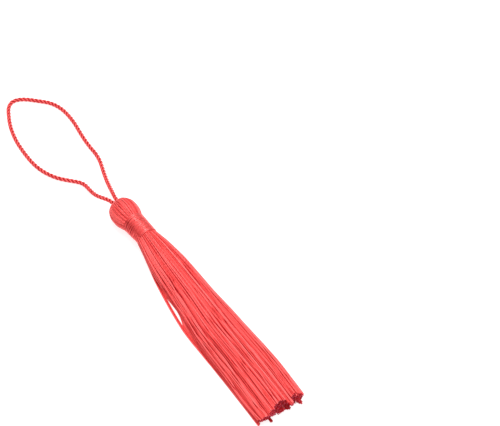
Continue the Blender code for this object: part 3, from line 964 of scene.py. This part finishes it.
def wound_thread(rng, diameter, start, pitch, turns, steps, lift):
    """A thread wound round the neck: its turns vary a little in pitch and height."""
    angle = 2 * math.pi * np.linspace(0.0, turns, round(turns * steps) + 1)
    share = angle / angle[-1]
    uneven = slow_noise(rng, 2, share, [turns / wave for wave in BINDING_WAVES])
    distance = start + pitch * angle / (2 * math.pi) + BINDING_UNEVEN[0] * uneven[0]
    # Turns near the head have slipped apart on one side
    number = np.floor(angle / (2 * math.pi))
    slipped = np.exp(-(((angle % (2 * math.pi)) - SLIPPED_SIDE) / SLIPPED_WIDTH) ** 2)
    near_head = read_table(SLIPPED_ALONG, distance)
    distance += SLIPPED_BY * np.sin(SLIPPED_RHYTHM * number) * slipped * near_head
    radius = binding_radius(distance) - diameter / 2 + lift + BINDING_UNEVEN[1] * uneven[1]
    radius -= SLIPPED_SINK * slipped
    # Painted shade: turns on the slipped side are set darker, and the lower layer by its depth
    deeper = SLIPPED_PAINTED_SHADE[0] + SLIPPED_PAINTED_SHADE[1] * np.clip(np.sin(SLIPPED_RHYTHM * number + 1.0), 0.0, 1.0)
    shade = BINDING_TONE + lift - slipped * deeper
    return on_axis(distance, radius, angle + FIRST_TURN, diameter / 2)[None], shade[None]


def crossing_paths(diameter):
    """Threads that cross the turns of the binding at a slant, with both ends tucked under."""
    angle = np.linspace(-CROSSING_LAP, 2 * math.pi + CROSSING_LAP, 72)
    to_end = np.abs(angle - math.pi) / math.pi
    tucked = CROSSING_DIVE * np.clip(to_end - CROSSING_TUCK, 0, 1) / CROSSING_OVER
    made = []
    for middle, slant, furthest, lift in CROSSING_TURNS:
        distance = middle + slant * np.cos(angle - math.radians(furthest))
        radius = binding_radius(distance) - diameter / 2 + (lift - tucked)
        made.append(on_axis(distance, radius, angle, diameter / 2))
    return np.array(made)


class TASSEL_OT_binding(bpy.types.Operator):
    """Wind the binding thread round the neck"""
    bl_idname = "tassel.binding"
    bl_label = "Binding"

    def execute(self, context):
        settings = context.scene.tassel
        rng = np.random.default_rng(settings.binding.seed)
        diameter = settings.binding.diameter / MM
        pitch = settings.binding.pitch / MM
        material = thread_material("spun rayon silk binding", settings.colours, lay=1.4, plies=2,
                                   roughness=0.26, lustre=0.55, gloss=0.60, relief=0.015)
        length = WRAP_END - WRAP_START - diameter
        start = WRAP_START + diameter / 2
        # Each layer's height over the outside of the binding, its rings a turn and its sides
        layers = (("binding_turns_under", UNDER_LIFT, 36, 5), ("binding_turns", 0.0, 48, STRAND_SIDES))
        for name, lift, steps, sides in layers:
            path, shade = wound_thread(rng, diameter, start, pitch, length / pitch, steps, lift)
            radii = np.full(path.shape[:2], diameter / 2)
            piece = strands(name, path, radii, sides, np.clip(shade, 0.0, 1.0), material)
            stands_for(piece, "neck_wrap")
        paths = crossing_paths(diameter)
        radii = np.full(paths.shape[:2], diameter / 2)
        shades = rng.uniform(*CROSSING_TONES, len(paths))
        piece = strands("binding_crossings", paths, radii, STRAND_SIDES, shades, material)
        stands_for(piece, "neck_wrap")
        return {"FINISHED"}


def twisted(centre, offset, lay, hand, phases):
    """Helical paths round a centre line. hand is 1 for a Z twist and -1 for an S twist."""
    _, normal, side = carried_frames(centre[None])
    gone = np.concatenate([[0.0], np.cumsum(np.linalg.norm(np.diff(centre, axis=0), axis=1))])
    angle = hand * 2 * math.pi * gone / lay
    made = []
    for phase in phases:
        turn = (angle + phase)[:, None]
        made.append(centre + offset * (normal[0] * np.cos(turn) + side[0] * np.sin(turn)))
    return np.array(made)


class TASSEL_OT_loop(bpy.types.Operator):
    """Twist the hanging loop of three plies, each of four yarns, along its route"""
    bl_idname = "tassel.loop"
    bl_label = "Hanging loop"

    def execute(self, context):
        settings = context.scene.tassel
        diameter = settings.loop.diameter / MM
        lay = settings.loop.lay / MM
        rings = round(route_length(LOOP_ROUTE) / CORD_STEP) + 1
        centre = smooth_curve(LOOP_ROUTE, np.linspace(0, 1, rings))
        ply = PLY_SHARE * diameter
        plies = twisted(centre, (diameter - ply) / 2, lay, 1, 2 * math.pi * np.arange(3) / 3)
        yarn = YARN_SHARE * ply
        quarters = 2 * math.pi * np.arange(4) / 4
        yarns = [twisted(path, (ply - yarn) / 2, YARN_LAY, -1, quarters + YARN_SHIFT * number)
                 for number, path in enumerate(plies)]
        paths = np.concatenate(yarns)
        paths[..., 2] = np.maximum(paths[..., 2], yarn / 2)
        rng = np.random.default_rng(CORD_SEED)
        # Yarns nearer the cord's middle, in the grooves between the plies, are set darker and those on the
        # crests lighter: painted shade and painted light
        reach = np.linalg.norm(paths - centre, axis=-1)
        share = (reach - reach.min()) / (reach.max() - reach.min())
        spread = CORD_TONE_SPREAD * rng.standard_normal((len(paths), 1))
        shades = np.clip(CORD_PAINTED_LIGHT_RISE * (share - CORD_PAINTED_SHADE_FROM) + spread, 0, 1)
        material = thread_material("three-ply rayon silk cord", settings.colours, lay=1.6, plies=2,
                                   roughness=0.40, lustre=0.30, gloss=0.25)
        piece = strands("hanging_loop_cord", paths, np.full(paths.shape[:2], yarn / 2), 6, shades, material)
        stands_for(piece, "hanging_loop")
        return {"FINISHED"}


def aimed(place, backwards):
    """The matrix of a lamp or camera at a place, whose back faces a direction."""
    return Matrix.Translation(place) @ backwards.to_track_quat("Z", "Y").to_matrix().to_4x4()


def softbox(place, size, power):
    """A round area light that points at the middle of the surface."""
    light = bpy.data.lights.new("overhead softbox", "AREA")
    light.shape = "DISK"
    light.size = size
    light.energy = power
    lamp = bpy.data.objects.new("overhead softbox", light)
    lamp.matrix_world = aimed(place, place)
    bpy.context.scene.collection.objects.link(lamp)


def studio_world(strength):
    """A white room whose ceiling is lit and whose walls are dim."""
    world = bpy.data.worlds.new("studio")
    world.use_nodes = True
    tree = world.node_tree
    backdrop = tree.nodes["Background"]
    backdrop.inputs["Strength"].default_value = strength
    around = add(tree, "ShaderNodeTexCoord")
    height = add(tree, "ShaderNodeSeparateXYZ", links={"Vector": around.outputs["Generated"]})
    ramp = add(tree, "ShaderNodeValToRGB", links={"Fac": height.outputs["Z"]})
    for stop, (position, brightness) in zip(ramp.color_ramp.elements, WORLD_RAMP):
        stop.position = position
        stop.color = (brightness, brightness, brightness, 1.0)
    tree.links.new(ramp.outputs["Color"], backdrop.inputs["Color"])
    return world


class TASSEL_OT_stage(bpy.types.Operator):
    """Set up the pale surface, the soft light and the camera"""
    bl_idname = "tassel.stage"
    bl_label = "Stage"

    def execute(self, context):
        settings = context.scene.tassel
        bm = bmesh.new()
        bmesh.ops.create_grid(bm, x_segments=2, y_segments=2, size=SURFACE_HALF * MM)
        mesh = bpy.data.meshes.new("surface")
        bm.to_mesh(mesh)
        bm.free()
        place_piece("surface", mesh, floor_material(settings.colours, settings.stage.glow))

        level = math.cos(CAMERA_ELEVATION)
        back = Vector((math.sin(CAMERA_AZIMUTH) * level, -math.cos(CAMERA_AZIMUTH) * level,
                       math.sin(CAMERA_ELEVATION)))
        camera = bpy.data.cameras.new("camera")
        camera.lens = LENS
        camera.sensor_width = SENSOR
        camera.clip_start = CAMERA_NEAR * MM
        viewer = bpy.data.objects.new("camera", camera)
        viewer.matrix_world = aimed(Vector(CAMERA_TARGET) * MM + back * (CAMERA_DISTANCE * MM), back)
        context.scene.collection.objects.link(viewer)
        context.scene.camera = viewer

        right = Vector((math.cos(CAMERA_AZIMUTH), math.sin(CAMERA_AZIMUTH), 0.0))
        away = Vector((-math.sin(CAMERA_AZIMUTH), math.cos(CAMERA_AZIMUTH), 0.0))
        beside, behind, above = SOFTBOX_PLACE
        place = right * (beside * MM) + away * (behind * MM) + Vector((0.0, 0.0, above * MM))
        softbox(place, SOFTBOX_SIZE * MM, settings.stage.key)
        context.scene.world = studio_world(settings.stage.fill)
        context.scene.view_settings.view_transform = "Standard"
        context.scene.view_settings.look = "None"
        return {"FINISHED"}


class TASSEL_PT_panel(bpy.types.Panel):
    """Lists the tassel's sizes and the steps that build it"""
    bl_idname = "TASSEL_PT_panel"
    bl_label = "Silk Tassel"
    bl_space_type = "VIEW_3D"
    bl_region_type = "UI"
    bl_category = "Tassel"

    def draw(self, context):
        settings = context.scene.tassel
        for group in (settings.skirt, settings.head, settings.binding, settings.loop, settings.colours,
                      settings.stage):
            box = self.layout.box()
            for name in group.bl_rna.properties.keys():
                if name not in {"rna_type", "name"}:
                    box.prop(group, name)
        for operator in OPERATORS:
            self.layout.operator(operator.bl_idname)


GROUPS = (SkirtSettings, HeadSettings, BindingSettings, LoopSettings, ColourSettings, StageSettings,
          TasselSettings)
OPERATORS = (TASSEL_OT_stage, TASSEL_OT_loop, TASSEL_OT_head, TASSEL_OT_binding, TASSEL_OT_skirt)


def register():
    for made in (*GROUPS, *OPERATORS, TASSEL_PT_panel):
        bpy.utils.register_class(made)
    bpy.types.Scene.tassel = PointerProperty(type=TasselSettings)


def unregister():
    del bpy.types.Scene.tassel
    for made in reversed((*GROUPS, *OPERATORS, TASSEL_PT_panel)):
        bpy.utils.unregister_class(made)


def main():
    register()
    bpy.ops.tassel.stage()
    bpy.ops.tassel.loop()
    bpy.ops.tassel.head()
    bpy.ops.tassel.binding()
    bpy.ops.tassel.skirt()


if __name__ == "__main__":
    main()
